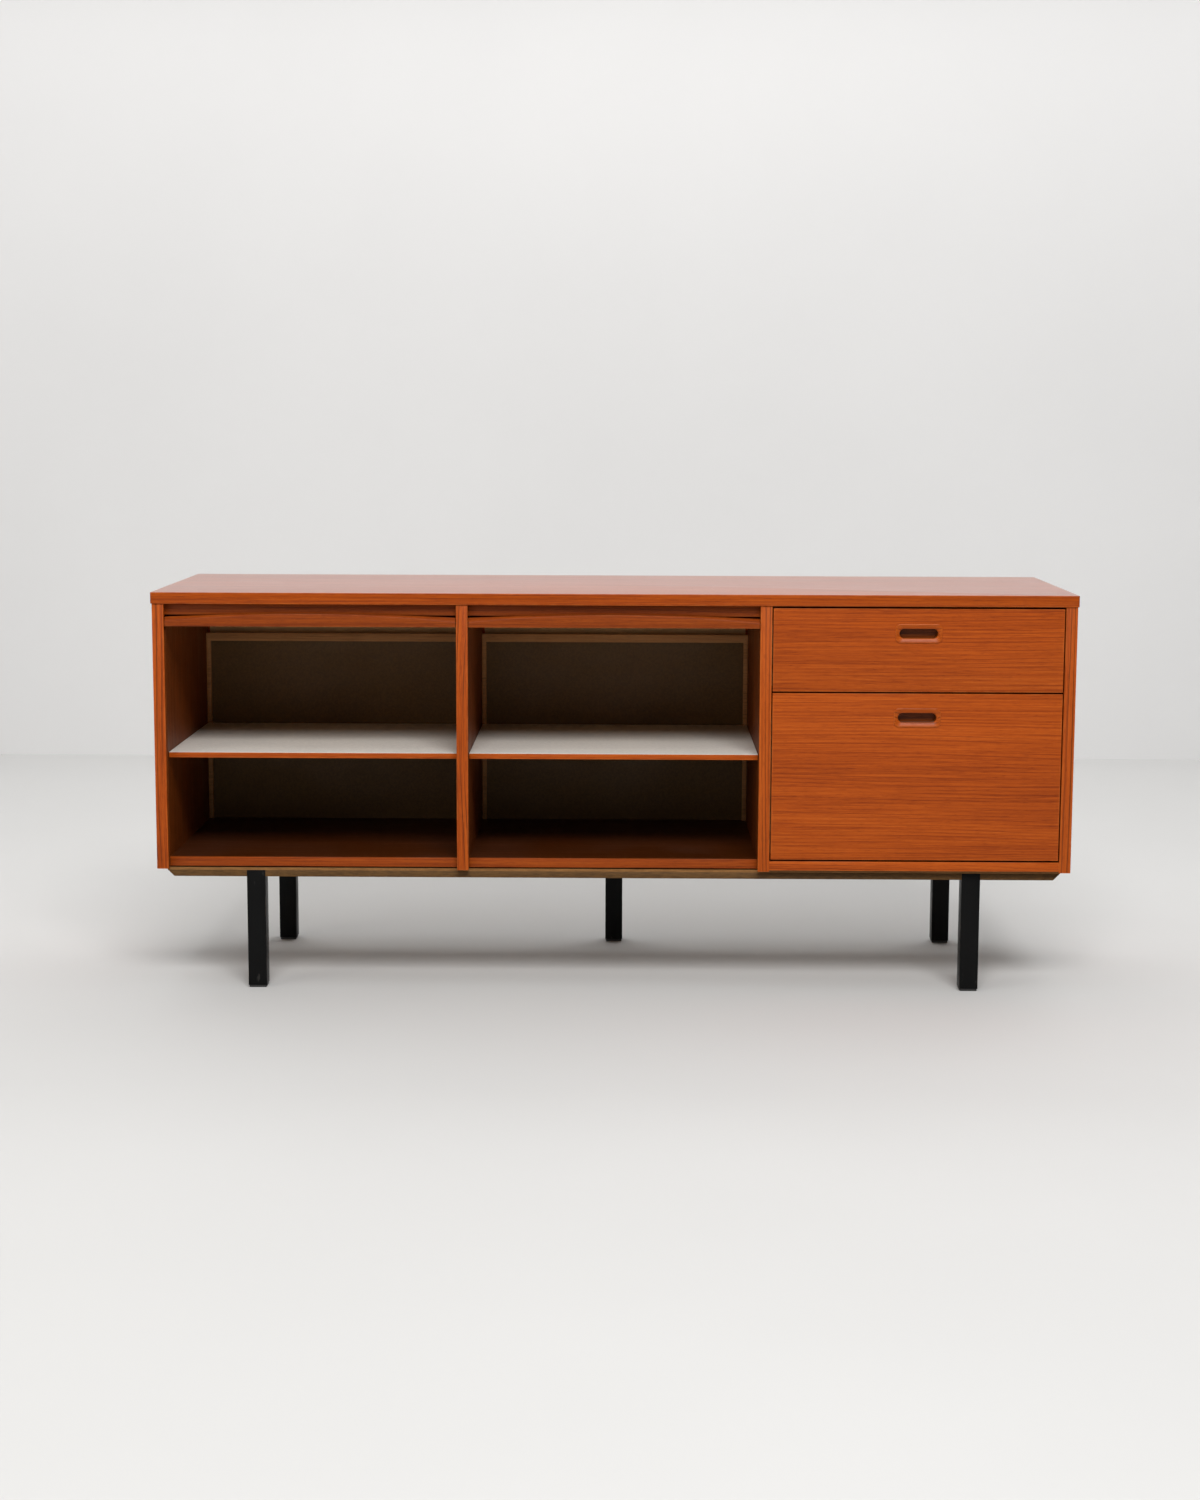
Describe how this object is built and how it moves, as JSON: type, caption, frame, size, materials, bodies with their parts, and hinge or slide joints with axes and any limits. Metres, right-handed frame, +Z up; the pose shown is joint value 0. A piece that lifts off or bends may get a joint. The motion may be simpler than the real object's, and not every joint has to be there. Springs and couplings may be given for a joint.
{
  "type": "sideboard buffet",
  "caption": "Low teak office sideboard on slender square black legs, with open tambour bays and their shelves on the left and a shallow drawer over a deep drawer on the right.",
  "frame": {"origin": "on the floor, under the middle of the top", "axes": "+X along the width towards the drawers' side, +Y to the back, +Z up; the fronts face -Y"},
  "size_m": [1.6, 0.48, 0.7],
  "materials": {
    "teak": "satin oiled teak veneer",
    "teak_bottom": "satin oiled teak veneer",
    "white_laminate": "matt white laminate",
    "hardboard": "smooth brown hardboard",
    "raw_wood": "raw board, aged olive brown",
    "bead_wood": "pale softwood beading",
    "beech": "plain waxed beech",
    "canvas": "natural cotton canvas",
    "black_lacquer": "satin black lacquer",
    "black_plastic": "matt black",
    "steel": "zinc plated"
  },
  "bodies": {
    "root": {"top_panel": "teak", "left_side": "teak", "right_side": "teak", "left_divider": "teak", "right_divider": "teak", "left_bottom": "teak_bottom", "middle_bottom": "teak_bottom", "right_bottom": "teak_bottom", "bottom_lippings": "teak", "left_apron": "teak", "middle_apron": "teak", "back_panel": "hardboard", "left_false_back": "hardboard", "middle_false_back": "hardboard", "left_back_beads": "bead_wood", "middle_back_beads": "bead_wood", "left_shelf": "white_laminate", "middle_shelf": "white_laminate", "shelf_lippings": "teak", "shelf_pins": "steel", "left_slats": "teak", "middle_slats": "teak", "left_canvas": "canvas", "middle_canvas": "canvas", "upper_runners": "beech", "lower_runners": "beech", "runner_screws": "steel", "drawer_stops": "beech", "base_panel": "raw_wood", "front_bearer": "raw_wood", "rear_bearer": "raw_wood", "cross_bearers": "raw_wood", "front_left_leg": "black_lacquer", "front_right_leg": "black_lacquer", "rear_left_leg": "black_lacquer", "rear_middle_leg": "black_lacquer", "rear_right_leg": "black_lacquer", "leg_glides": "black_plastic", "leg_bolts": "steel", "carcass_dowels": "beech", "back_screws": "steel", "bearer_screws": "steel"},
    "left_tambour": {"left_lead_rail": "teak"},
    "middle_tambour": {"middle_lead_rail": "teak"},
    "upper_drawer": {"upper_drawer_front": "teak", "upper_drawer_handle": "teak", "upper_drawer_left_side": "beech", "upper_drawer_right_side": "beech", "upper_drawer_back": "beech", "upper_drawer_bottom": "hardboard", "upper_drawer_screws": "steel"},
    "lower_drawer": {"lower_drawer_front": "teak", "lower_drawer_handle": "teak", "lower_drawer_left_side": "beech", "lower_drawer_right_side": "beech", "lower_drawer_back": "beech", "lower_drawer_bottom": "hardboard", "lower_drawer_screws": "steel"}
  },
  "joints": [
    {"name": "left_tambour_slide", "type": "slide", "parent": "root", "child": "left_tambour", "axis": [0, 0, -1], "range_m": [0, 0.422], "deforming": ["left_slats", "left_canvas"]},
    {"name": "middle_tambour_slide", "type": "slide", "parent": "root", "child": "middle_tambour", "axis": [0, 0, -1], "range_m": [0, 0.422], "deforming": ["middle_slats", "middle_canvas"]},
    {"name": "upper_drawer_slide", "type": "slide", "parent": "root", "child": "upper_drawer", "axis": [0, -1, 0], "range_m": [0, 0.33]},
    {"name": "lower_drawer_slide", "type": "slide", "parent": "root", "child": "lower_drawer", "axis": [0, -1, 0], "range_m": [0, 0.33]}
  ]
}
